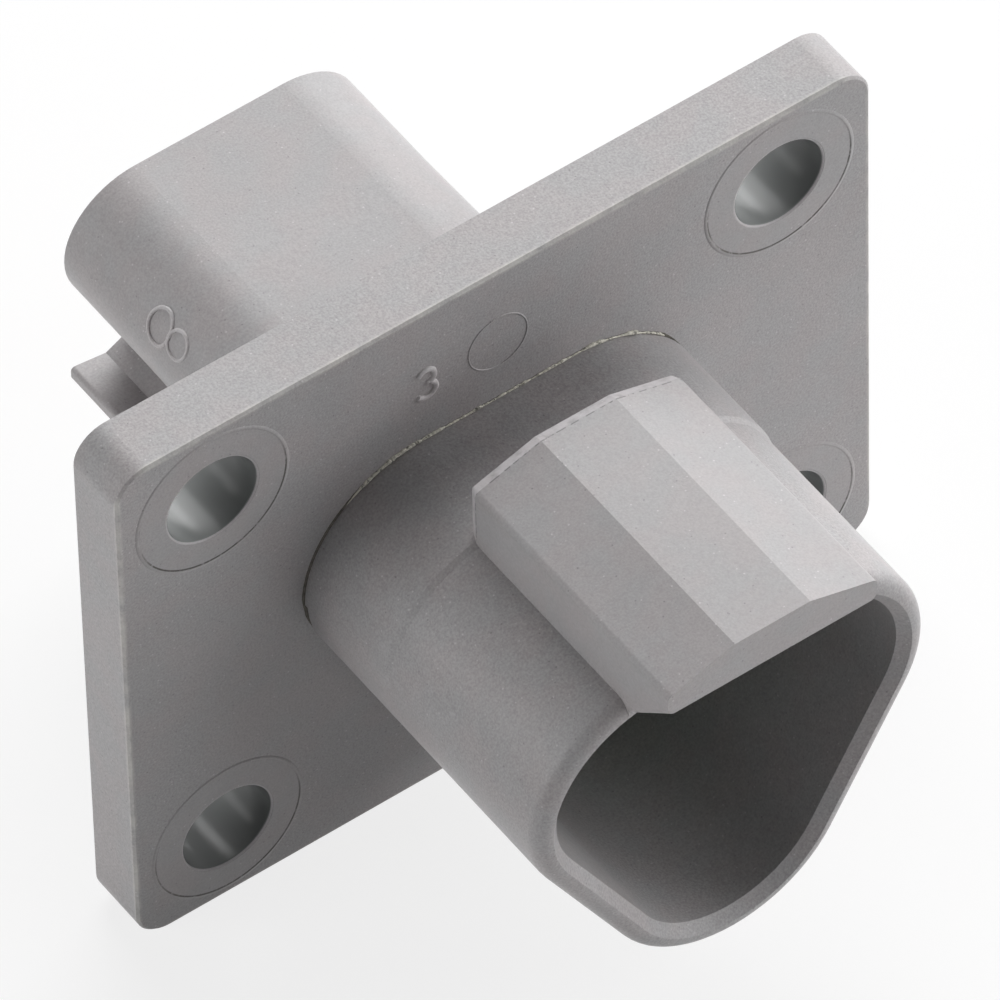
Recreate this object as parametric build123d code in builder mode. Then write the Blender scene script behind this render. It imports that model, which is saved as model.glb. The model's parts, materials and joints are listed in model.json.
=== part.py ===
from build123d import *
from math import atan2, degrees, radians, sqrt, tan
import os

# A three-way panel mount receptacle: one moulded housing with a flange, a mouth for the
# mating plug and a rear body that holds the wire seal, plus the three pin contacts and
# the wedge that locks them.
#
# The frame is the panel's. The origin is the middle of the flange's back face, which
# rests on the panel. X runs along the flange, Z is up and the mouth opens towards -Y.
# A "depth" below is a distance forward of the panel, so Y is minus the depth.

# Flange
flange_width = 40.2
flange_height = 31.4
flange_thickness = 3.2
flange_corner_radius = 1.7
flange_edge_bevel = 0.12

# Screw holes in the flange, each this far in from its edges
screw_inset_x = 4.95
screw_inset_z = 4.45
screw_hole_diameter = 4.7
screw_hole_edge_bevel = 0.08

# Three contacts stand at the corners of an equal-sided triangle, one corner down
contact_spacing = 8.1
contact_centre_z = -1.1

# Front shell, a rounded triangle around the contacts
shell_centre_z = -1.45
shell_corner_radius = 6.43
shell_wall = 1.35
shell_length = 17.2
rim_round = 0.8
rim_lead_in = 0.5
mouth_depth = 18.4

# Raised band where the upper half of the shell leaves the flange, sloped at its front end
collar_length = 5.9
collar_raise = 0.12
collar_end_length = 0.3

# Latch block on top of the shell
latch_width = 11.1
latch_crown_width = 4.0
latch_crown_height = 4.3
latch_shoulder_height = 3.2
latch_setback = 5.5
latch_overhang = 2.95
latch_nose_thickness = 1.2
latch_edge_round = 0.35
latch_nose_round = 0.35
latch_back_bevel = 0.5
latch_back_bevel_drop = 0.2
latch_wall = 1.4
latch_catch_length = 6.5

# Rear body, with a thin mounting rail along each lower side
rear_length = 18.9
rear_corner_radius = 3.94
rear_root_length = 13.1
rear_root_raise = 0.26
rear_wall = 1.2
rear_mouth_bevel = 0.3
rail_width = 15.9
rail_drop = 4.8
rail_thickness = 0.8
rail_groove_depth = 0.28
rail_groove_inset = 1.9
rail_root_slope = 28
rail_edge_round = 0.2

# Wire seal
seal_pocket_depth = 6.6
seal_length = 5.4
seal_clearance = 0.05
seal_rib_count = 3
seal_rib_height = 0.35
seal_rib_length = 0.9
seal_rib_slope = 25
wire_hole_diameter = 1.7
wire_hole_bevel = 0.3

# Pin contacts, whose pins meet a thicker stem just in front of the wedge
pin_diameter = 1.58
pin_tip_depth = 9.8
pin_tip_bevel = 0.45
pin_seat_gap = 0.1
stem_diameter = 1.9
stem_clearance = 0.1
stem_guide_length = 3.0
contact_body_diameter = 2.9
contact_body_clearance = 0.1
contact_shoulder_length = 1.3
contact_neck_diameter = 2.1
contact_neck_length = 2.2
barrel_diameter = 2.6
barrel_bore_diameter = 1.75
barrel_bore_depth = 5.6
barrel_end_gap = 1.3
inspection_hole_diameter = 0.8

# Wedge lock
wedge_thickness = 3.2
wedge_wall_clearance = 0.3
wedge_stem_clearance = 0.4
wedge_edge_bevel = 0.4
wedge_post_diameter = 3.2
wedge_post_length = 4.0
wedge_post_clearance = 0.1
wedge_post_end_gap = 0.5
pry_slot_length = 3.4
pry_slot_width = 1.0
pry_slot_depth = 1.2

# Places that follow from the sizes above
triangle_rise = contact_spacing * sqrt(3) / 6
triangle_fall = contact_spacing * sqrt(3) / 3
rim_depth = flange_thickness + shell_length
floor_depth = rim_depth - mouth_depth
mouth_corner_radius = shell_corner_radius - shell_wall
latch_base_z = shell_centre_z + triangle_rise
shell_top_z = latch_base_z + shell_corner_radius
rim_flat_top_z = shell_top_z - rim_round
shoulder_z = shell_top_z + latch_shoulder_height
crown_z = shell_top_z + latch_crown_height
nose_bottom_z = shoulder_z - latch_nose_thickness
latch_back_depth = flange_thickness + latch_setback
latch_front_depth = rim_depth + latch_overhang
cavity_end_depth = floor_depth - stem_guide_length
pocket_floor_depth = seal_pocket_depth - rear_length
pocket_corner_radius = rear_corner_radius - rear_wall
barrel_end_depth = pocket_floor_depth + barrel_end_gap
contact_places = [
    (-contact_spacing / 2, contact_centre_z + triangle_rise),
    (contact_spacing / 2, contact_centre_z + triangle_rise),
    (0, contact_centre_z - triangle_fall),
]


def at_depth(depth):
    """The plane that faces forward at this depth, with X to the right and Z up."""
    return Plane.XZ.offset(depth)


def rounded_triangle(centre_z, corner_radius):
    """The contact triangle about centre_z, grown so that each corner becomes an arc."""
    with BuildSketch() as outline:
        with BuildLine():
            Polyline(
                (-contact_spacing / 2, centre_z + triangle_rise),
                (contact_spacing / 2, centre_z + triangle_rise),
                (0, centre_z - triangle_fall),
                close=True,
            )
        make_face()
        offset(amount=corner_radius)
    return outline.sketch


def collar_profile():
    """The front view of the collar: the upper half of the shell's outline, slightly grown."""
    with BuildSketch() as outline:
        add(rounded_triangle(shell_centre_z, shell_corner_radius + collar_raise))
        with Locations((0, latch_base_z)):
            Rectangle(flange_width, flange_height, align=(Align.CENTER, Align.MIN), mode=Mode.INTERSECT)
    return outline.sketch


def latch_profile(inset, bottom_z):
    """The front view of the latch block: a flat crown between two sloping facets."""
    half_width = latch_width / 2 - inset
    half_crown = latch_crown_width / 2
    with BuildSketch() as outline:
        with BuildLine():
            Polyline(
                (-half_width, bottom_z),
                (half_width, bottom_z),
                (half_width, shoulder_z - inset),
                (half_crown, crown_z - inset),
                (-half_crown, crown_z - inset),
                (-half_width, shoulder_z - inset),
                close=True,
            )
        make_face()
    return outline.sketch


def rail_profile():
    """The end view of both rails: flat below, with a shallow groove beside the body."""
    top_z = contact_centre_z - rail_drop
    groove_x = rail_width / 2 - rail_groove_inset
    groove_z = top_z - rail_groove_depth
    root_rise = groove_x * tan(radians(rail_root_slope))
    with BuildSketch() as outline:
        with BuildLine():
            Polyline(
                (-groove_x, groove_z),
                (-rail_width / 2, top_z),
                (-rail_width / 2, top_z - rail_thickness),
                (rail_width / 2, top_z - rail_thickness),
                (rail_width / 2, top_z),
                (groove_x, groove_z),
                (0, groove_z + root_rise),
                close=True,
            )
        make_face()
        tips = outline.vertices().group_by(Axis.X)
        fillet(tips[0] + tips[-1], rail_edge_round)
    return outline.sketch


# Latch block, cut away under its nose by a ramp that leads into the mouth
with BuildPart() as latch_block:
    with BuildSketch(at_depth(latch_back_depth)):
        add(latch_profile(0, latch_base_z))
    extrude(amount=latch_front_depth - latch_back_depth)
    with BuildSketch(Plane.YZ):
        with BuildLine():
            Polyline(
                (-rim_depth, latch_base_z),
                (-rim_depth, rim_flat_top_z),
                (-latch_front_depth, nose_bottom_z),
                (-latch_front_depth, latch_base_z),
                close=True,
            )
        make_face()
    extrude(amount=latch_width, both=True, mode=Mode.SUBTRACT)
    long_edges = latch_block.edges().filter_by(Axis.Y)
    shoulder_edges = long_edges.filter_by_position(
        Axis.Z, shoulder_z - latch_edge_round, shoulder_z + latch_edge_round
    )
    fillet(shoulder_edges, latch_edge_round)
    ramp = latch_block.faces().filter_by(
        lambda face: face.normal_at().Y < -0.1 and face.normal_at().Z < -0.1
    )
    ramp_sides = ramp.edges().filter_by(lambda edge: abs(edge.tangent_at(0.5).X) < 0.1)
    fillet(ramp_sides, latch_nose_round)
    back = latch_block.faces().sort_by(Axis.Y)[-1]
    back_top = back.edges().filter_by_position(Axis.Z, shoulder_z - latch_edge_round / 2, crown_z)
    chamfer(back_top, length=latch_back_bevel_drop, length2=latch_back_bevel, reference=back)

# Housing, moulded as one piece
with BuildPart() as housing:
    with BuildSketch(at_depth(0)):
        RectangleRounded(flange_width, flange_height, flange_corner_radius)
    extrude(amount=flange_thickness)
    chamfer(housing.faces().sort_by(Axis.Y)[0].edges(), flange_edge_bevel)
    screw_spacing = (flange_width - 2 * screw_inset_x, flange_height - 2 * screw_inset_z)
    with BuildSketch(at_depth(0)):
        with GridLocations(*screw_spacing, 2, 2):
            Circle(screw_hole_diameter / 2)
    extrude(amount=flange_thickness, mode=Mode.SUBTRACT)
    with BuildSketch(at_depth(flange_thickness)):
        with GridLocations(*screw_spacing, 2, 2):
            Circle(screw_hole_diameter / 2 + screw_hole_edge_bevel)
    extrude(amount=-screw_hole_edge_bevel, taper=45, mode=Mode.SUBTRACT)

    # Front shell with its rounded rim
    with BuildSketch(at_depth(flange_thickness)):
        add(rounded_triangle(shell_centre_z, shell_corner_radius))
    extrude(amount=shell_length)
    fillet(housing.faces().sort_by(Axis.Y)[0].edges(), rim_round)
    with BuildSketch(at_depth(flange_thickness)):
        add(collar_profile())
    extrude(amount=collar_length)
    with BuildSketch(at_depth(flange_thickness + collar_length)):
        add(collar_profile())
    end_slope = degrees(atan2(collar_raise, collar_end_length))
    extrude(amount=2 * collar_end_length, taper=end_slope)
    add(latch_block.part)

    # Rear body, straight at its end and drafted towards the flange, with its two rails
    with BuildSketch(at_depth(0)):
        add(rounded_triangle(contact_centre_z, rear_corner_radius + rear_root_raise))
    root_taper = degrees(atan2(rear_root_raise, rear_root_length))
    extrude(amount=-rear_root_length, taper=root_taper)
    with BuildSketch(at_depth(-rear_length)):
        add(rounded_triangle(contact_centre_z, rear_corner_radius))
    extrude(amount=rear_length - rear_root_length)
    with BuildSketch(at_depth(-rear_length)):
        add(rail_profile())
    extrude(amount=rear_length)

    # Mouth and its lead-in, then the pocket that the plug's latch springs into
    with BuildSketch(at_depth(rim_depth)):
        add(rounded_triangle(shell_centre_z, mouth_corner_radius))
    extrude(amount=-mouth_depth, mode=Mode.SUBTRACT)
    with BuildSketch(at_depth(rim_depth)):
        add(rounded_triangle(shell_centre_z, mouth_corner_radius + rim_lead_in))
    extrude(amount=-rim_lead_in, taper=45, mode=Mode.SUBTRACT)
    with BuildSketch(at_depth(latch_back_depth + latch_wall)):
        add(latch_profile(latch_wall, shell_centre_z))
    extrude(
        amount=latch_front_depth - latch_catch_length - latch_back_depth - latch_wall,
        mode=Mode.SUBTRACT,
    )

    # Contact cavities: a narrow guide for the stem, then the bore for the contact's body
    with BuildSketch(at_depth(floor_depth)):
        with Locations(*contact_places):
            Circle(stem_diameter / 2 + stem_clearance)
    extrude(amount=-stem_guide_length, mode=Mode.SUBTRACT)
    with BuildSketch(at_depth(cavity_end_depth)):
        with Locations(*contact_places):
            Circle(contact_body_diameter / 2 + contact_body_clearance)
    extrude(amount=pocket_floor_depth - cavity_end_depth, mode=Mode.SUBTRACT)
    with BuildSketch(at_depth(floor_depth)):
        with Locations((0, contact_centre_z)):
            Circle(wedge_post_diameter / 2 + wedge_post_clearance)
    extrude(amount=-wedge_post_length - wedge_post_end_gap, mode=Mode.SUBTRACT)

    # Seal pocket in the rear end
    with BuildSketch(at_depth(-rear_length)):
        add(rounded_triangle(contact_centre_z, pocket_corner_radius))
    extrude(amount=seal_pocket_depth, mode=Mode.SUBTRACT)
    with BuildSketch(at_depth(-rear_length)):
        add(rounded_triangle(contact_centre_z, pocket_corner_radius + rear_mouth_bevel))
    extrude(amount=rear_mouth_bevel, taper=45, mode=Mode.SUBTRACT)

# Wire seal, a ribbed plug with a lipped hole for each wire
seal_radius = pocket_corner_radius - seal_clearance
seal_rib_pitch = seal_length / seal_rib_count
with BuildPart() as wire_seal:
    with BuildSketch(at_depth(pocket_floor_depth)):
        add(rounded_triangle(contact_centre_z, seal_radius - seal_rib_height))
    extrude(amount=-seal_length)
    for rib in range(seal_rib_count):
        with BuildSketch(at_depth(pocket_floor_depth - (rib + 0.5) * seal_rib_pitch)):
            add(rounded_triangle(contact_centre_z, seal_radius))
        extrude(amount=seal_rib_length / 2, both=True, taper=seal_rib_slope)
    with BuildSketch(at_depth(pocket_floor_depth)):
        with Locations(*contact_places):
            Circle(wire_hole_diameter / 2)
    extrude(amount=-seal_length, mode=Mode.SUBTRACT)
    with BuildSketch(at_depth(pocket_floor_depth - seal_length)):
        with Locations(*contact_places):
            Circle(wire_hole_diameter / 2 + wire_hole_bevel)
    extrude(amount=wire_hole_bevel, taper=45, mode=Mode.SUBTRACT)


def make_contact(x, z):
    """One turned pin contact, from its pin at the front to its open crimp barrel."""
    tip = rim_depth - pin_tip_depth
    stem_start = floor_depth + wedge_thickness + pin_seat_gap
    neck_start = cavity_end_depth - contact_shoulder_length
    neck_end = neck_start - contact_neck_length
    bore_end = barrel_end_depth + barrel_bore_depth
    side_view = Plane(origin=(x, 0, z), x_dir=(0, -1, 0), z_dir=(-1, 0, 0))
    with BuildPart() as contact:
        with BuildSketch(side_view):
            with BuildLine():
                Polyline(
                    (tip, 0),
                    (tip, pin_diameter / 2),
                    (stem_start, pin_diameter / 2),
                    (stem_start, stem_diameter / 2),
                    (cavity_end_depth, stem_diameter / 2),
                    (cavity_end_depth, contact_body_diameter / 2),
                    (neck_start, contact_body_diameter / 2),
                    (neck_start, contact_neck_diameter / 2),
                    (neck_end, contact_neck_diameter / 2),
                    (neck_end, barrel_diameter / 2),
                    (barrel_end_depth, barrel_diameter / 2),
                    (barrel_end_depth, barrel_bore_diameter / 2),
                    (bore_end, barrel_bore_diameter / 2),
                    (bore_end, 0),
                    close=True,
                )
            make_face()
        revolve(axis=Axis((x, 0, z), (0, -1, 0)))
        chamfer(contact.edges().filter_by(GeomType.CIRCLE).sort_by(Axis.Y)[0], pin_tip_bevel)
        with BuildSketch(Plane.XY.offset(z)):
            with Locations((x, -bore_end + inspection_hole_diameter)):
                Circle(inspection_hole_diameter / 2)
        extrude(amount=barrel_diameter, mode=Mode.SUBTRACT)
    return contact


# Wedge lock, pushed onto the mouth's floor around the pins
with BuildPart() as wedge_lock:
    with BuildSketch(at_depth(floor_depth)):
        add(rounded_triangle(shell_centre_z, mouth_corner_radius - wedge_wall_clearance))
    extrude(amount=wedge_thickness)
    chamfer(wedge_lock.faces().sort_by(Axis.Y)[0].edges(), wedge_edge_bevel)
    with BuildSketch(at_depth(floor_depth)):
        with Locations(*contact_places):
            Circle(stem_diameter / 2 + wedge_stem_clearance)
    extrude(amount=wedge_thickness, mode=Mode.SUBTRACT)
    with BuildSketch(at_depth(floor_depth)):
        with Locations((0, contact_centre_z)):
            Circle(wedge_post_diameter / 2)
    extrude(amount=-wedge_post_length)
    with BuildSketch(at_depth(floor_depth + wedge_thickness)):
        with Locations((0, contact_centre_z)):
            SlotOverall(pry_slot_length, pry_slot_width)
    extrude(amount=-pry_slot_depth, mode=Mode.SUBTRACT)

os.makedirs("parts", exist_ok=True)

housing.part.label = "housing"
export_step(housing.part, "parts/housing.step")

wire_seal.part.label = "wire_seal"
export_step(wire_seal.part, "parts/wire_seal.step")

wedge_lock.part.label = "wedge_lock"
export_step(wedge_lock.part, "parts/wedge_lock.step")

for number, (x, z) in enumerate(contact_places, start=1):
    contact = make_contact(x, z)
    contact.part.label = f"contact_{number}"
    export_step(contact.part, f"parts/contact_{number}.step")
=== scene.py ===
"""A three-way panel mount receptacle: its finishes, its moulding marks and the studio around it."""

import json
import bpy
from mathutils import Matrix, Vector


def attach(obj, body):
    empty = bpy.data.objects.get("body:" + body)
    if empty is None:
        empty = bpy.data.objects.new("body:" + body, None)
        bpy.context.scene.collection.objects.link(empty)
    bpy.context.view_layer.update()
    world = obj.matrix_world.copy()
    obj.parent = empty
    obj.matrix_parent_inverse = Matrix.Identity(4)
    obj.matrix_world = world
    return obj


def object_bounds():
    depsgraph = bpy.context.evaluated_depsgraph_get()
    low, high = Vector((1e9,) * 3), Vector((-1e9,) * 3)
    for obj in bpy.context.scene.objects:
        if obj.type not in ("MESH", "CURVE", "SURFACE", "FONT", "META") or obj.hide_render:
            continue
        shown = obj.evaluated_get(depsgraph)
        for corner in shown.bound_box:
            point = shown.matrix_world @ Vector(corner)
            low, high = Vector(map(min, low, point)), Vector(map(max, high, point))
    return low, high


bl_info = {
    "name": "Panel mount receptacle",
    "version": (1, 0, 0),
    "blender": (4, 5, 0),
    "location": "View3D > Sidebar > Receptacle",
    "description": "Finishes, moulding marks and a studio for a panel mount receptacle",
    "category": "Add Mesh",
}

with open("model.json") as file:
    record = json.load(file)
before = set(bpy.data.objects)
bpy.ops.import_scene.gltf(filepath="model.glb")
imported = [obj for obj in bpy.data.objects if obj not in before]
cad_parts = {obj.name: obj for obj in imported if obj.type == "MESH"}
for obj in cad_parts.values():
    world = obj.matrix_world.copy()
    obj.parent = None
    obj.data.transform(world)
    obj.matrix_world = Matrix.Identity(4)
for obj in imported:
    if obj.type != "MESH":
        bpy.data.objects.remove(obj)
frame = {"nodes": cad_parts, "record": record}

import bpy
import numpy as np
from bpy.props import EnumProperty, FloatProperty, FloatVectorProperty, PointerProperty
from mathutils import Matrix, Vector

CAD_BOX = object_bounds()
MM = 0.001
BODY = "root"
CONTACTS = ("contact_1", "contact_2", "contact_3")
WHITE = (1.0, 1.0, 1.0, 1.0)
COLOURS = {entry["slot"]: tuple(entry["base_color"]) for entry in frame["record"]["materials"]}
FLANGE_HALF = (CAD_BOX[1].x / MM, CAD_BOX[1].z / MM)
MOUNTS = {mount["name"]: mount["dims"] for mount in frame["record"]["mounts"]}
BOLT_X = MOUNTS["flange_bolts"]["spacing_x_mm"] / 2
BOLT_Z = MOUNTS["flange_bolts"]["spacing_y_mm"] / 2
HOLE_RADIUS = MOUNTS["flange_bolts"]["hole_r_mm"]

# The camera, fitted to the photograph: its place in metres, the directions of its right, its
# top and its back, and its lens in millimetres.
CAMERA_PLACE = (-0.283827, -0.415154, 0.597998)
CAMERA_RIGHT = (0.811475, -0.584127, -0.017416)
CAMERA_UP = (0.457091, 0.615863, 0.641701)
CAMERA_BACK = (-0.364110, -0.528685, 0.766757)
CAMERA_LENS = 639.625

# Each lamp: its name, its direction from the part, half the angle that it fills, in degrees,
# and its power in watts.
LAMPS = (
    ("key lamp", (0.42, 0.55, 0.72), 25, 3.3),
    ("low rear lamp", (0.75, 0.5, 0.45), 20, 1.3),
    ("front low lamp", (0.8, -0.55, 0.2), 12, 0.7),
    ("front high lamp", (0.5, -0.6, 0.62), 15, 0.45),
    ("mouth lamp", (0.35, -0.9, 0.15), 10, 0.35),
    ("left lamp", (-0.92, 0.3, 0.25), 14, 0.85),
    ("left low lamp", (-0.96, 0.1, 0.14), 8, 0.5),
    ("right lamp", (0.96, -0.1, 0.25), 20, 1.5),
)


def arc(centre, radii, start, end, steps):
    """Points of an oval arc, from one angle in degrees to another."""
    angle = np.radians(np.linspace(start, end, steps))
    across, up = radii[0] * np.cos(angle), radii[1] * np.sin(angle)
    return np.stack([centre[0] + across, centre[1] + up], axis=1)


# The middle line of each plain digit, one unit tall, about its own centre.
DIGITS = {
    "0": arc((0, 0), (0.3, 0.5), 90, 450, 40),
    "3": np.concatenate([
        arc((0, 0.24), (0.26, 0.26), 150, -80, 26), arc((0, -0.25), (0.3, 0.26), 82, -150, 30),
    ]),
    "8": np.concatenate([
        arc((0, 0.26), (0.25, 0.24), -90, 270, 36), arc((0, -0.23), (0.34, 0.27), 90, -270, 44),
    ]),
}


def length(name, default, description):
    """A length property, in metres, whose default is given in millimetres."""
    return FloatProperty(
        name=name, description=description, default=default * MM, min=0, precision=5, unit="LENGTH"
    )


def factor(name, default, description):
    """A property from 0 to 1."""
    return FloatProperty(
        name=name, description=description, default=default, min=0, max=1, subtype="FACTOR"
    )


def colour(name, default, description):
    """A linear colour property."""
    return FloatVectorProperty(
        name=name, description=description, default=default, size=3, min=0, max=1, subtype="COLOR"
    )


def digit(name, default, description):
    """A property that chooses one of the plain digits."""
    items = [(key, key, f"The digit {key}") for key in DIGITS]
    return EnumProperty(name=name, description=description, default=default, items=items)


class ReceptacleFinish(bpy.types.PropertyGroup):
    """Colours and textures of the moulded, plated and rubber surfaces."""

    plastic: colour("Housing", COLOURS["grey_thermoplastic"], "Colour of the moulded housing")
    wedge: colour("Wedge", COLOURS["wedge_plastic"], "Colour of the wedge lock")
    seal: colour("Seal", COLOURS["seal_silicone"], "Colour of the wire seal")
    plating: colour("Plating", COLOURS["plated_copper"], "Colour of the plated contacts")
    flash: colour("Flash", (0.66, 0.64, 0.56), "Colour of the thin flash beside the collar")
    # The colour of the painted shade in the collar's gap and in the insert marks' grooves.
    painted_shade: colour("Grime", (0.07, 0.065, 0.055), "Colour of the dust in fine gaps")
    roughness: factor("Roughness", 0.42, "Roughness of the eroded, matte mould surface")
    bore_roughness: factor("Bore roughness", 0.26, "Roughness of the smooth screw holes")
    speckle: factor("Speckle", 0.7, "How much the grey varies from grain to grain")
    # The pale edges are painted highlights on the flange's front edges and the block's back bevel.
    edge: factor("Pale edge", 0.4, "How much paler the flange's and the latch block's edges are")
    grain_size: length("Grain size", 0.11, "Size of the mould's fine grain")
    grain_depth: length("Grain depth", 0.018, "Depth of the mould's fine grain")
    mottle: factor("Mottle", 0.07, "How much the grey varies over the part")
    specks: factor("Specks", 0.5, "How far the small specks stand out from the grey")


class ReceptacleMarks(bpy.types.PropertyGroup):
    """Places and sizes of the marks that the mould leaves on the housing."""

    flange_thickness: length("Flange thickness", 3.2, "From the panel to the flange's front face")
    block_foot: length("Block foot", 7.34, "Height at which the latch block leaves the shell")
    block_back: length("Block back", 8.7, "From the panel to the back of the latch block")
    block_bevel: length("Block bevel", 0.5, "Depth of the bevel at the back of the latch block")
    pad_radius: length("Pad radius", 3.95, "Outer radius of the round insert mark at a screw hole")
    pad_height: length("Pad height", 0.02, "How far an insert mark stands proud of the flange")
    pad_line: length("Pad line", 0.06, "Width of the fine lip around an insert mark")
    hole_clearance: length("Hole clearance", 0.1, "From a screw hole's wall to its insert mark")
    ejector_radius: length("Ejector radius", 1.53, "Radius of the round ejector mark")
    ejector_rise: length("Ejector place", 11.17, "Height of the ejector mark above the centre")
    ejector_lip: length("Ejector lip", 0.04, "Height of the lip around the ejector mark")
    corner_x: length("Corner X", 4.05, "Sideways place of the shell's and the rear body's corners")
    shell_z: length("Shell corner Z", 0.888, "Height of the centre of the shell's upper corners")
    shell_radius: length("Shell radius", 6.43, "Radius of the shell's corners")
    collar_radius: length("Collar radius", 6.55, "Radius of the collar's corners")
    bead_size: length("Bead size", 0.085, "Mean radius of the flash along the collar's base")
    flash_start: factor("Flash start", 0.26, "Where the flash starts, as a share of its gap")
    flash_end: factor("Flash end", 0.95, "Where the flash ends, as a share of its gap")
    digit_height: length("Digit height", 1.75, "Height of the raised cavity number")
    digit_x: length("Digit X", 3.85, "Distance of the cavity number left of the centre")
    digit_z: length("Digit Z", 11.1, "Height of the cavity number above the centre")
    stroke: length("Stroke", 0.14, "Radius of the raised strokes of the cavity number")
    rear_z: length("Rear corner Z", 1.238, "Height of the centre of the rear body's upper corners")
    rear_radius: length("Rear radius", 3.975, "Radius of the rear body's corners at the number")
    rear_digit_height: length("Rear digit height", 2.75, "Height of the number on the rear body")
    rear_place: length("Rear digit place", 11.4, "Distance of the rear number behind the panel")
    rear_turn: FloatProperty(
        name="Rear turn", description="Angle of the rear number above the horizontal",
        default=0.49, subtype="ANGLE",
    )
    cavity: digit("Cavity", "3", "Cavity number on the flange")
    tool: digit("Tool", "8", "Tool number on the rear body")


class ReceptacleStudio(bpy.types.PropertyGroup):
    """Light levels and sizes of the studio."""

    surround: factor("Surround", 0.02, "Level of the even light from all round")
    lamps: FloatProperty(name="Lamps", description="Level of all the lamps", default=1.0, min=0)
    reach: length("Reach", 600, "Distance of the lamps from the part")
    floor_size: length("Floor size", 3000, "Width of the floor")
    floor_grey: factor("Floor", 0.9, "How much light the floor gives back")
    shadow: factor("Shadow", 0.2, "How much of the floor's shadow the camera sees")


class Wire:
    """A shader socket. Arithmetic on it adds Math nodes, and node() adds any other node."""

    def __init__(self, tree, socket=None):
        self.tree = tree
        self.socket = socket

    def node(self, kind, settings=None, inputs=None, output=0):
        """Add a node: its settings first, then the values or links of its sockets."""
        made = self.tree.nodes.new("ShaderNode" + kind)
        for name, value in (settings or {}).items():
            setattr(made, name, value)
        for key, value in (inputs or {}).items():
            if isinstance(value, Wire):
                self.tree.links.new(value.socket, made.inputs[key])
            else:
                made.inputs[key].default_value = value
        return Wire(self.tree, made.outputs[output] if made.outputs else None)

    def math(self, operation, *values):
        """Add a Math node."""
        return self.node("Math", {"operation": operation}, dict(enumerate(values)))

    def __add__(self, other):
        return self.math("ADD", self, other)

    __radd__ = __add__

    def __mul__(self, other):
        return self.math("MULTIPLY", self, other)

    __rmul__ = __mul__

    def __sub__(self, other):
        return self.math("SUBTRACT", self, other)

    def __rsub__(self, other):
        return self.math("SUBTRACT", other, self)

    def __pow__(self, other):
        return self.math("POWER", self, other)

    def __abs__(self):
        return self.math("ABSOLUTE", self)

    def step(self, low, high):
        """0 below low and 1 above high, smooth between them. It falls instead where low > high."""
        sockets = {"Value": self, "From Min": low, "From Max": high}
        return self.node("MapRange", {"interpolation_type": "SMOOTHSTEP"}, sockets)

    def mix(self, first, second):
        """Two colours mixed, with this value as the share of the second."""
        return self.node("Mix", {"data_type": "RGBA"}, {0: self, 6: first, 7: second}, 2)

    def shade(self, paint):
        """A colour multiplied by this value."""
        return self.node("VectorMath", {"operation": "SCALE"}, {0: paint, "Scale": self})

    def shifted(self, offset):
        """This place moved by an offset."""
        return self.node("VectorMath", {"operation": "ADD"}, {0: self, 1: offset})

    def axis(self, name):
        """The X, Y or Z of this place."""
        return self.node("SeparateXYZ", None, {0: self}, name)


def tinted(base, factors=1.0):
    """A colour times one factor, or one for each channel, no lighter than white, with alpha."""
    return (*np.minimum(np.array(base) * factors, 1.0).tolist(), 1.0)


def new_material(name):
    """An empty material and a wire into its tree."""
    material = bpy.data.materials.new(name)
    material.use_nodes = True
    material.node_tree.nodes.clear()
    return material, Wire(material.node_tree)


def surface(wire, constants, links):
    """End a material in a Principled shader with these constant and linked sockets."""
    shader = wire.node("BsdfPrincipled", None, {**constants, **links})
    wire.node("OutputMaterial", None, {"Surface": shader})


def millimetres(wire):
    """The Object coordinates, scaled so that 1 is one millimetre."""
    place = wire.node("TexCoord", output="Object")
    return wire.node("VectorMath", {"operation": "SCALE"}, {0: place, "Scale": 1 / MM})


def noise(place, size, detail=3.0):
    """Noise from 0 to 1 whose features are about size millimetres."""
    return place.node("TexNoise", None, {"Vector": place, "Scale": 1 / size, "Detail": detail})


def spots(place, spacing, radius, share):
    """1 in small round spots of about this radius, in a share of cells this far apart."""
    sockets = {"Vector": place, "Scale": 1 / spacing}
    distance = place.node("TexVoronoi", None, sockets, "Distance")
    chance = place.node("TexVoronoi", None, sockets, "Color")
    chosen = chance.node("SeparateColor", None, {0: chance}).step(share, share - 0.01)
    return distance.step(radius / spacing, 0.4 * radius / spacing) * chosen


def moulded_skin(place, base, finish, grain=1.0):
    """The colour, roughness and bump height of matte moulded plastic.

    The grey varies with fine, coarse and broad noise, is a little warmer in patches, and has
    small dark and pale specks.
    """
    size = finish.grain_size / MM
    fine, coarse, broad = noise(place, size, 2.0), noise(place, 5 * size), noise(place, 7.0, 2.0)
    level = (1 + (broad - 0.5) * (2 * finish.mottle) + (fine - 0.5) * (finish.speckle * grain)
             + (coarse - 0.5) * 0.15)
    patches = noise(place, 2.2, 2.0).step(0.35, 0.65)
    paint = patches.mix(tinted(base, (1.02, 1.0, 0.985)), tinted(base, (0.985, 1.0, 0.99)))
    paint = level.shade(paint)
    dark = spots(place, 0.42, 0.06, 0.4) * finish.specks
    pale = spots(place.shifted((3.7, 1.9, 5.3)), 0.42, 0.06, 0.5) * finish.specks
    paint = pale.mix(dark.mix(paint, tinted(base, 0.4)), tinted(base, 1.8))
    return paint, finish.roughness + (coarse - 0.5) * 0.25, fine * 0.7 + coarse * 0.3


def finish_plastic(wire, paint, roughness, height, depth):
    """End a plastic's tree: height is its bump from 0 to 1, and depth the bump's depth."""
    bump = wire.node("Bump", None, {"Height": height, "Distance": depth})
    surface(wire, {"IOR": 1.5, "Specular IOR Level": 0.3},
            {"Base Color": paint, "Roughness": roughness, "Normal": bump})


def moulded_plastic(name, base, finish, grain=1.0):
    """Plain matte moulded plastic."""
    material, wire = new_material(name)
    paint, roughness, height = moulded_skin(millimetres(wire), base, finish, grain)
    finish_plastic(wire, paint, roughness, height, finish.grain_depth * grain)
    return material


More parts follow.
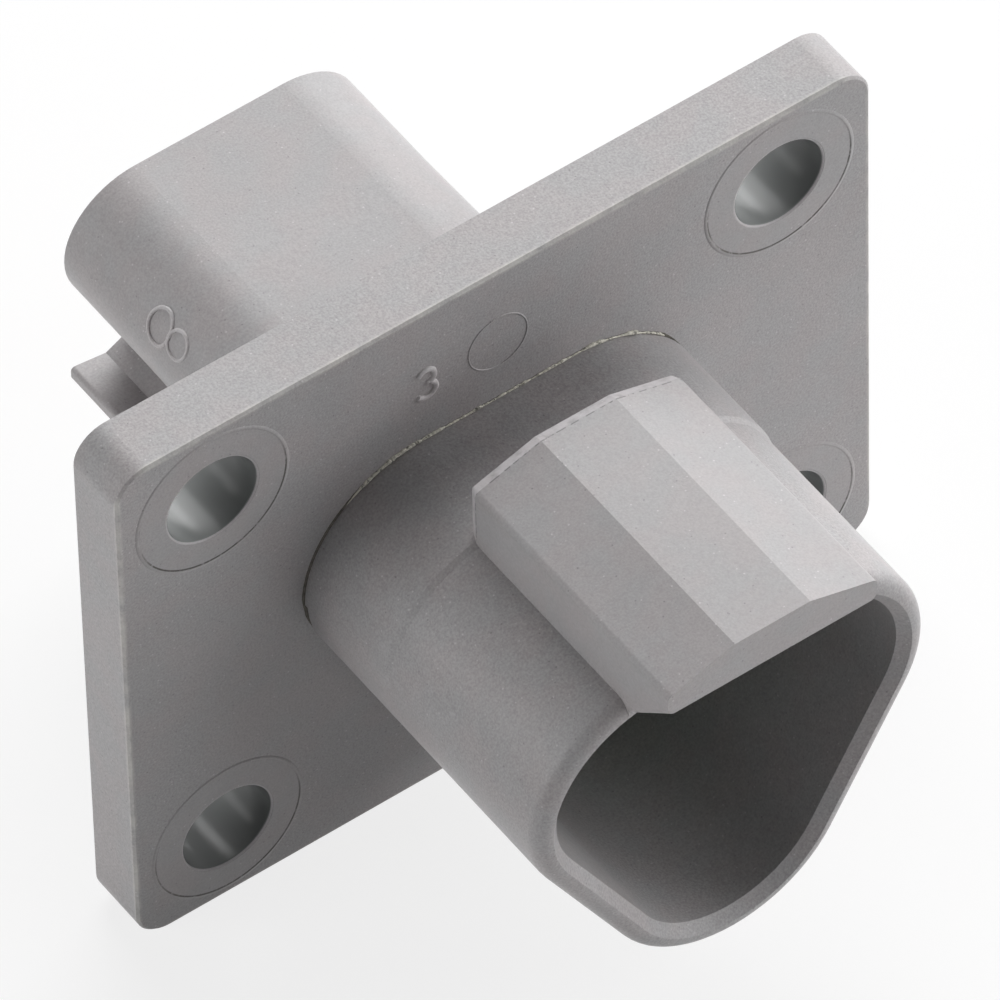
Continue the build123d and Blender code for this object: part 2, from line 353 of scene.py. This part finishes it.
def bolt_radius(place):
    """The distance in millimetres from the axis of the nearest screw hole."""
    across, up = abs(place.axis("X")) - BOLT_X, abs(place.axis("Z")) - BOLT_Z
    return (across * across + up * up) ** 0.5


def housing_plastic(finish, marks):
    """The housing's grey plastic.

    The latch block and the rear body have a finer grain. The flange's front edges and the
    latch block's back bevel are painted paler as painted highlights, with a broken dark line
    along the bevel. The screw holes are smooth and painted darker as painted shade, with a
    painted highlight on their rims.
    """
    material, wire = new_material("grey thermoplastic")
    place = millimetres(wire)
    forward = place.axis("Y")
    front, foot = -marks.flange_thickness / MM, marks.block_foot / MM
    back, bevel = -marks.block_back / MM, -(marks.block_back + marks.block_bevel) / MM

    # The latch block and the rear body, with their finer grain.
    on_block = place.axis("Z").step(foot, foot + 0.1) * forward.step(back + 0.15, back + 0.05)
    grain = 1 - on_block * 0.5 - forward.step(0.0, 1.0) * 0.3
    paint, roughness, height = moulded_skin(place, finish.plastic, finish, grain)

    # The painted highlight on the latch block's back bevel, and the broken dark line along it.
    bevel_highlight = on_block * forward.step(bevel - 0.02, bevel + 0.04) * noise(place, 0.5).step(0.2, 0.6)
    paint = (bevel_highlight * finish.edge).mix(paint, tinted(finish.plastic, 2.0))
    line = forward.step(bevel - 0.06, bevel - 0.03) * forward.step(bevel + 0.04, bevel + 0.01)
    broken_dark_line = on_block * line * noise(place, 0.4, 2.0).step(0.45, 0.52) * 0.7
    paint = broken_dark_line.mix(paint, tinted(finish.plastic, 0.35))

    # The painted highlight along the flange's front edges. beyond adds how far the place lies
    # past the flange's side and past its front face, and is about 0 only along those edges.
    beyond_x = abs(place.axis("X")) - FLANGE_HALF[0]
    beyond_z = abs(place.axis("Z")) - FLANGE_HALF[1]
    beyond = beyond_x.math("MAXIMUM", beyond_x, beyond_z) - forward + front
    band = beyond.step(-0.3, -0.12) * beyond.step(0.08, -0.08)
    on_flange = forward.step(front - 0.1, front - 0.05)
    edge_highlight = band * on_flange * noise(place, 0.9).step(0.2, 0.7) * finish.edge
    paint = edge_highlight.mix(paint, tinted(finish.plastic, (2.0, 2.05, 1.85)))

    # The smooth screw holes with painted shade inside, and a painted highlight on their rims.
    radius = bolt_radius(place)
    outside = radius.step(HOLE_RADIUS + 0.01, HOLE_RADIUS + 0.04)
    paint = outside.mix(tinted(finish.plastic, (0.54, 0.585, 0.565)), paint)
    rim_highlight = outside * radius.step(HOLE_RADIUS + 0.16, HOLE_RADIUS + 0.1) * 0.4
    paint = rim_highlight.mix(paint, tinted(finish.plastic, 1.9))
    roughness = finish.bore_roughness + (roughness - finish.bore_roughness) * outside
    height = height * grain * (outside * 0.9 + 0.1)
    finish_plastic(wire, paint, roughness, height, finish.grain_depth)
    return material


def flash_plastic(finish):
    """The thin, pale flash, knotted with darker dirt."""
    material, wire = new_material("flash plastic")
    knots = noise(millimetres(wire), 0.17, 2.0).step(0.3, 0.46)
    paint = knots.mix(tinted(finish.flash, 0.35), tinted(finish.flash))
    finish_plastic(wire, paint, 0.35 + knots * 0.1, knots, 2 * finish.grain_depth)
    return material


def painted_gap_shade(finish):
    """The dark strip of painted shade in the gap beside the flash, with a mottled tone."""
    material, wire = new_material("painted gap shade")
    mottled_shade = noise(millimetres(wire), 0.3).step(0.3, 0.7)
    paint = mottled_shade.mix(tinted(finish.painted_shade), tinted(finish.painted_shade, 1.8))
    surface(wire, {"Roughness": 0.9}, {"Base Color": paint})
    return material


def insert_mark_plastic(finish, marks):
    """The smoother plastic of an insert mark, with broken painted shade in its lip's lower half."""
    material, wire = new_material("insert mark plastic")
    place = millimetres(wire)
    paint, roughness, height = moulded_skin(place, finish.plastic, finish, grain=0.6)
    line = (marks.pad_radius - marks.pad_line) / MM
    # rise is how far the place lies above the axis of the nearest screw hole.
    height_above = place.axis("Z")
    rise = (abs(height_above) - BOLT_Z) * wire.math("SIGN", height_above)
    broken = noise(place, 3.5, 2.0).step(0.3, 0.5) * noise(place, 0.25, 2.0).step(0.2, 0.5)
    radius = bolt_radius(place)
    groove = radius.step(line - 0.065, line - 0.035) * radius.step(line + 0.035, line + 0.02)
    # Painted shade in the groove inside the lip, strongest on the lower half.
    painted_shade = groove * broken * (0.12 + rise.step(1.6, -0.6) * 0.75)
    paint = painted_shade.mix(paint, tinted(finish.painted_shade))
    finish_plastic(wire, paint, roughness, height, 0.5 * finish.grain_depth)
    return material


def silicone(name, base):
    """Soft silicone rubber with a faint bloom and a skin that isn't quite flat."""
    material, wire = new_material(name)
    place = millimetres(wire)
    cloud, skin = noise(place, 0.9), noise(place, 0.12, 2.0)
    bloom = np.array(base) * 0.8 + 0.05
    paint = cloud.step(0.3, 0.75).mix(tinted(base), tinted(bloom))
    bump = wire.node("Bump", None, {"Height": cloud * 0.7 + skin * 0.3, "Distance": 0.02 * MM})
    surface(wire, {"IOR": 1.42},
            {"Base Color": paint, "Roughness": 0.34 + cloud * 0.2, "Normal": bump})
    return material


def plated_metal(name, base):
    """Turned, plated metal with fine rings from the lathe and slightly dull patches."""
    material, wire = new_material(name)
    place = millimetres(wire)
    rings = wire.math("SINE", place.axis("Y") * 55.0)
    dull = noise(place, 1.4)
    paint = dull.step(0.4, 0.7).mix(tinted(base), tinted(base, 0.86))
    bump = wire.node("Bump", None, {"Height": rings * 0.5 + 0.5, "Distance": 0.003 * MM})
    surface(wire, {"Metallic": 1.0},
            {"Base Color": paint, "Roughness": 0.2 + dull * 0.18, "Normal": bump})
    return material


def dress(name, material):
    """Give a node of the frame this material, whatever it had."""
    slots = frame["nodes"][name].data.materials
    slots.clear()
    slots.append(material)


def grid_mesh(name, points, close_rows):
    """A mesh from a grid of points: each cell is one face, and columns always join up.

    close_rows joins the last row to the first. Without it each of the two has an end face.
    """
    rows, columns = points.shape[:2]
    index = np.arange(rows * columns).reshape(rows, columns)
    after = np.roll(index, -1, axis=0)
    right, beyond = np.roll(index, -1, axis=1), np.roll(after, -1, axis=1)
    cells = np.stack([index, right, beyond, after], axis=-1)
    faces = cells[:rows if close_rows else rows - 1].reshape(-1, 4).tolist()
    if not close_rows:
        faces += [index[0, ::-1].tolist(), index[-1].tolist()]
    mesh = bpy.data.meshes.new(name)
    mesh.from_pydata(points.reshape(-1, 3), [], faces)
    mesh.update()
    return mesh


def add_piece(name, mesh, material):
    """Link a finished mesh as a piece that rides on the housing."""
    mesh.materials.append(material)
    mesh.shade_smooth()
    piece = bpy.data.objects.new(name, mesh)
    bpy.context.scene.collection.objects.link(piece)
    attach(piece, BODY)


def turned_ring(name, profile, centre, front, steps=96):
    """A closed profile of (radius, height) turned about the -Y axis through a centre (x, z).

    Each point is the centre plus its radius times (cos, sin) of the angle, and lies its
    height in front of the flange.
    """
    radius, height = np.array(profile).T
    angle = np.linspace(0, 2 * np.pi, steps, endpoint=False)[:, None]
    points = np.stack([
        centre[0] + radius * np.cos(angle),
        -front - height + 0 * angle,
        centre[1] + radius * np.sin(angle),
    ], axis=-1)
    return grid_mesh(name, points, close_rows=True)


def swept_tube(name, path, normal, across, out, sides=10):
    """An oval tube along a path of points, with an end face at both ends.

    At each point the oval is across times the cosine of its angle to the side of the path,
    and out times the sine along the surface normal.
    """
    along = np.gradient(path, axis=0)
    along /= np.linalg.norm(along, axis=1)[:, None]
    side = np.cross(normal, along)
    side /= np.linalg.norm(side, axis=1)[:, None]
    angle = np.linspace(0, 2 * np.pi, sides, endpoint=False)[None, :, None]
    points = (path[:, None] + side[:, None] * np.cos(angle) * across[:, None, None]
              + normal[:, None] * np.sin(angle) * out[:, None, None])
    return grid_mesh(name, points, close_rows=False)


def evenly_spaced(line, count):
    """Points along a line of (x, z), the same distance apart."""
    steps = np.linalg.norm(np.diff(line, axis=0), axis=1)
    travel = np.concatenate([[0], np.cumsum(steps)])
    even = np.linspace(0, travel[-1], count)
    return np.stack([np.interp(even, travel, values) for values in line.T], axis=1)


def flange_path(line, front, height=0.0):
    """The path and the normals of a line of (x, z) at a height in front of the flange."""
    path = np.stack([line[:, 0], np.full(len(line), -front) - height, line[:, 1]], axis=1)
    return path, np.tile([0.0, -1.0, 0.0], (len(line), 1))


class RECEPTACLE_OT_housing(bpy.types.Operator):
    """Give the moulded housing its matte grey plastic"""

    bl_idname = "receptacle.housing"
    bl_label = "Housing finish"

    def execute(self, context):
        finish = context.scene.receptacle_finish
        dress("housing", housing_plastic(finish, context.scene.receptacle_marks))
        return {"FINISHED"}


class RECEPTACLE_OT_inner_parts(bpy.types.Operator):
    """Give the wedge lock, the wire seal and the contacts their finishes"""

    bl_idname = "receptacle.inner_parts"
    bl_label = "Wedge, seal and contacts"

    def execute(self, context):
        finish = context.scene.receptacle_finish
        dress("wedge_lock", moulded_plastic("wedge plastic", finish.wedge, finish))
        dress("wire_seal", silicone("seal silicone", finish.seal))
        plating = plated_metal("plated copper", finish.plating)
        for name in CONTACTS:
            dress(name, plating)
        return {"FINISHED"}


class RECEPTACLE_OT_screw_pads(bpy.types.Operator):
    """Add the round insert marks at the four screw holes"""

    bl_idname = "receptacle.screw_pads"
    bl_label = "Screw hole pads"

    def execute(self, context):
        marks = context.scene.receptacle_marks
        material = insert_mark_plastic(context.scene.receptacle_finish, marks)
        inner = HOLE_RADIUS * MM + marks.hole_clearance
        outer, high, groove = marks.pad_radius, marks.pad_height, marks.pad_line
        face, lip = 0.3 * high, 1.2 * high
        # Outwards from the hole: up out of the flange, along the flat face, over the lip and
        # back into the flange.
        profile = [
            (inner, -high), (inner, face), (inner + groove, face), (outer - 1.6 * groove, face),
            (outer - groove, face), (outer - 0.7 * groove, lip), (outer - 0.3 * groove, lip),
            (outer + 2.5 * groove, -face), (outer + 2.5 * groove, -high),
        ]
        places = [(x * BOLT_X * MM, z * BOLT_Z * MM) for z in (1, -1) for x in (-1, 1)]
        for number, centre in enumerate(places, start=1):
            name = f"screw_pad_{number}"
            mesh = turned_ring(name, profile, centre, marks.flange_thickness)
            add_piece(name, mesh, material)
        return {"FINISHED"}


class RECEPTACLE_OT_ejector_mark(bpy.types.Operator):
    """Add the round ejector mark above the shell"""

    bl_idname = "receptacle.ejector_mark"
    bl_label = "Ejector mark"

    def execute(self, context):
        marks = context.scene.receptacle_marks
        radius, lip = marks.ejector_radius, marks.ejector_lip
        # Outwards: up out of the flange, over the lip's low ridge and back into the flange.
        profile = [
            (radius, -lip), (radius, lip * 0.6), (radius + lip, lip), (radius + 2 * lip, lip * 0.6),
            (radius + 2.4 * lip, -lip),
        ]
        centre = (0, marks.ejector_rise)
        mesh = turned_ring("ejector_mark", profile, centre, marks.flange_thickness)
        material = frame["nodes"]["housing"].data.materials[0]
        add_piece("ejector_mark", mesh, material)
        return {"FINISHED"}


class RECEPTACLE_OT_flash_bead(bpy.types.Operator):
    """Add the thin, uneven flash where the collar meets the flange, and painted shade in the gap
    beside it
    """

    bl_idname = "receptacle.flash_bead"
    bl_label = "Flash bead"

    def execute(self, context):
        marks = context.scene.receptacle_marks
        finish = context.scene.receptacle_finish
        line = self.collar_base(marks)
        travel = np.linspace(0, 1, len(line))
        # fade is 1 where the flash stands, and falls to 0 over a short way at its two ends. The
        # flash's radius is its profile times that, and a hair in the rest of the gap.
        fade = (np.clip((travel - marks.flash_start) / 0.06, 0, 1)
                * np.clip((marks.flash_end - travel) / 0.02, 0, 1))
        width = marks.bead_size * np.maximum(0.03, self.bead_profile(travel) * fade)
        # outward is the line's own direction turned by a right angle.
        along = np.gradient(line, axis=0)
        outward = np.stack([-along[:, 1], along[:, 0]], axis=1)
        outward /= np.linalg.norm(outward, axis=1)[:, None]

        # The gap's half width is 0.7 of the bead's size plus the flash's radius, or 1.4 of it
        # where no flash stands, and tapers to both ends. Its middle lies half the flash's
        # radius outside the collar, and 0.4 of the bead's size more where no flash stands.
        ends = np.clip(travel / 0.04, 0.1, 1) * np.clip((1 - travel) / 0.06, 0.1, 1)
        spread = (marks.bead_size * (1.4 - 0.7 * fade) + width) * ends
        away = 0.4 * marks.bead_size * (1 - fade) * ends + 0.5 * width
        path, normal = flange_path(line + outward * away[:, None], marks.flange_thickness)
        # The gap is a dark tube of painted shade between the flash and the collar.
        mesh = swept_tube("collar_gap", path, normal, spread, 0.2 * spread)
        add_piece("collar_gap", mesh, painted_gap_shade(finish))

        # The flash lies in the gap, further out and a little above the flange.
        away, height = 1.35 * width, 0.4 * width
        path, normal = flange_path(line + outward * away[:, None], marks.flange_thickness, height)
        mesh = swept_tube("flash_bead", path, normal, width, width)
        add_piece("flash_bead", mesh, flash_plastic(finish))
        return {"FINISHED"}

    @staticmethod
    def collar_base(marks, start=196, end=30, count=700):
        """The collar's outline on the flange, from the lower left over the top to the right.

        It is an arc about each upper corner's centre, between two angles in degrees, with a
        straight line between them. Its radius falls to the shell's where the collar ends.
        """
        angle = np.linspace(start, end, 160)
        radius = np.interp(angle, (176, 184), (marks.collar_radius, marks.shell_radius))
        corner = np.where(angle > 90, -marks.corner_x, marks.corner_x)
        line = np.stack([
            corner + radius * np.cos(np.radians(angle)),
            marks.shell_z + radius * np.sin(np.radians(angle)),
        ], axis=1)
        return evenly_spaced(line, count)

    @staticmethod
    def bead_profile(travel):
        """The bead's width along the collar, where 1 is the mean radius.

        Sines of random phase make it uneven. It is thicker at the left and knotty at the
        right.
        """
        random = np.random.default_rng(11)
        wobble = np.zeros(len(travel))
        for cycles in (13, 23, 41, 67, 101, 149):
            wobble += np.sin(2 * np.pi * (cycles * travel + random.random())) / cycles ** 0.4
        wobble /= np.abs(wobble).max()
        thick = np.exp(-((travel - 0.39) / 0.08) ** 2)
        bumps = np.maximum(0, np.sin(2 * np.pi * 13 * travel))
        knots = bumps * np.exp(-((travel - 0.82) / 0.09) ** 2)
        return 0.65 + 0.35 * wobble + 0.45 * thick + 0.6 * knots


class RECEPTACLE_OT_numbers(bpy.types.Operator):
    """Add the raised cavity number on the flange and the plain number on the rear body"""

    bl_idname = "receptacle.numbers"
    bl_label = "Raised numbers"

    def execute(self, context):
        marks = context.scene.receptacle_marks
        finish = context.scene.receptacle_finish
        # The numbers are painted paler: partly the paler plastic of raised strokes, partly a
        # painted highlight.
        pale = tinted(finish.plastic, 1.35)[:3]
        material = moulded_plastic("raised number plastic", pale, finish, grain=0.6)

        line = evenly_spaced(DIGITS[marks.cavity], 90) * marks.digit_height
        path, normal = flange_path(line + (-marks.digit_x, marks.digit_z), marks.flange_thickness)
        width = np.full(len(path), marks.stroke)
        mesh = swept_tube("cavity_number", path, normal, width, width)
        add_piece("cavity_number", mesh, material)

        # The rear number's X runs around the rear body's left corner, and its height along -Y.
        line = evenly_spaced(DIGITS[marks.tool], 110) * marks.rear_digit_height
        turn = marks.rear_turn - line[:, 0] / marks.rear_radius
        normal = np.stack([-np.cos(turn), 0 * turn, np.sin(turn)], axis=1)
        path = marks.rear_radius * normal + np.stack([
            np.full(len(line), -marks.corner_x), marks.rear_place - line[:, 1],
            np.full(len(line), marks.rear_z),
        ], axis=1)
        width = np.full(len(path), 0.7 * marks.stroke)
        mesh = swept_tube("rear_number", path, normal, width, width)
        add_piece("rear_number", mesh, material)
        return {"FINISHED"}


class RECEPTACLE_OT_studio(bpy.types.Operator):
    """Add the floor, the soft lights and the camera"""

    bl_idname = "receptacle.studio"
    bl_label = "Studio"

    def execute(self, context):
        scene = context.scene
        studio = scene.receptacle_studio
        scene.view_settings.view_transform = "Standard"
        self.add_world(scene, studio)
        self.add_floor(scene, studio)
        self.add_lights(scene, studio)
        self.add_camera(scene)
        return {"FINISHED"}

    @staticmethod
    def seen_directly(wire):
        """1 for camera, glossy and transmission rays."""
        seen = wire.node("LightPath", output="Is Camera Ray")
        for name in ("Is Glossy Ray", "Is Transmission Ray"):
            seen = seen.math("MAXIMUM", seen, wire.node("LightPath", output=name))
        return seen

    def add_world(self, scene, studio):
        """A surround that looks white, and gives only a faint even light."""
        world = bpy.data.worlds.new("studio surround")
        world.use_nodes = True
        world.node_tree.nodes.clear()
        wire = Wire(world.node_tree)
        seen = self.seen_directly(wire)
        light = wire.node("Background", None, {"Color": WHITE, "Strength": studio.surround})
        white = wire.node("Background", None, {"Color": WHITE, "Strength": 1.0})
        both = wire.node("MixShader", None, {0: seen, 1: light, 2: white})
        wire.node("OutputWorld", None, {"Surface": both})
        scene.world = world

    def add_floor(self, scene, studio):
        """A floor that looks white, with a share of the part's shadow."""
        material, wire = new_material("studio floor")
        seen = self.seen_directly(wire) * (1 - studio.shadow)
        matte = wire.node("BsdfDiffuse", None, {"Color": tinted(WHITE[:3], studio.floor_grey)})
        white = wire.node("Emission", None, {"Color": WHITE, "Strength": 1.0})
        both = wire.node("MixShader", None, {0: seen, 1: matte, 2: white})
        wire.node("OutputMaterial", None, {"Surface": both})
        half, level = studio.floor_size / 2, CAD_BOX[0].z - 0.02 * MM
        corners = [(-half, -half), (half, -half), (half, half), (-half, half)]
        mesh = bpy.data.meshes.new("floor")
        mesh.from_pydata([(x, y, level) for x, y in corners], [], [(0, 1, 2, 3)])
        mesh.materials.append(material)
        floor = bpy.data.objects.new("floor", mesh)
        scene.collection.objects.link(floor)

    def add_lights(self, scene, studio):
        """Round soft lamps, each turned towards the part."""
        for name, toward, half_angle, power in LAMPS:
            lamp = bpy.data.lights.new(name, "AREA")
            lamp.shape = "DISK"
            lamp.size = 2 * studio.reach * np.tan(np.radians(half_angle))
            lamp.energy = power * studio.lamps
            light = bpy.data.objects.new(name, lamp)
            light.location = Vector(toward).normalized() * studio.reach
            light.rotation_euler = light.location.to_track_quat("Z", "Y").to_euler()
            scene.collection.objects.link(light)

    def add_camera(self, scene):
        """The camera, where the photograph was taken from."""
        data = bpy.data.cameras.new("camera")
        data.sensor_width = 36
        data.lens = CAMERA_LENS
        data.clip_start = 0.05
        data.clip_end = 10
        camera = bpy.data.objects.new("camera", data)
        turn = Matrix((CAMERA_RIGHT, CAMERA_UP, CAMERA_BACK)).transposed().to_4x4()
        camera.matrix_world = Matrix.Translation(CAMERA_PLACE) @ turn
        scene.collection.objects.link(camera)
        scene.camera = camera


OPERATORS = (
    RECEPTACLE_OT_housing,
    RECEPTACLE_OT_inner_parts,
    RECEPTACLE_OT_screw_pads,
    RECEPTACLE_OT_ejector_mark,
    RECEPTACLE_OT_flash_bead,
    RECEPTACLE_OT_numbers,
    RECEPTACLE_OT_studio,
)
GROUPS = {
    "receptacle_finish": ReceptacleFinish,
    "receptacle_marks": ReceptacleMarks,
    "receptacle_studio": ReceptacleStudio,
}


class VIEW3D_PT_receptacle(bpy.types.Panel):
    """Sizes, colours and steps of the receptacle"""

    bl_label = "Panel mount receptacle"
    bl_space_type = "VIEW_3D"
    bl_region_type = "UI"
    bl_category = "Receptacle"

    def draw(self, context):
        for attribute, group in GROUPS.items():
            box = self.layout.box()
            for name in group.__annotations__:
                box.prop(getattr(context.scene, attribute), name)
        for operator in OPERATORS:
            self.layout.operator(operator.bl_idname)


def register():
    for made in (*GROUPS.values(), *OPERATORS, VIEW3D_PT_receptacle):
        bpy.utils.register_class(made)
    for attribute, group in GROUPS.items():
        setattr(bpy.types.Scene, attribute, PointerProperty(type=group))


def unregister():
    for attribute in GROUPS:
        delattr(bpy.types.Scene, attribute)
    for made in (VIEW3D_PT_receptacle, *reversed(OPERATORS), *reversed(GROUPS.values())):
        bpy.utils.unregister_class(made)


def main():
    """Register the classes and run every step."""
    register()
    bpy.ops.receptacle.housing()
    bpy.ops.receptacle.inner_parts()
    bpy.ops.receptacle.screw_pads()
    bpy.ops.receptacle.ejector_mark()
    bpy.ops.receptacle.flash_bead()
    bpy.ops.receptacle.numbers()
    bpy.ops.receptacle.studio()


if __name__ == "__main__":
    main()
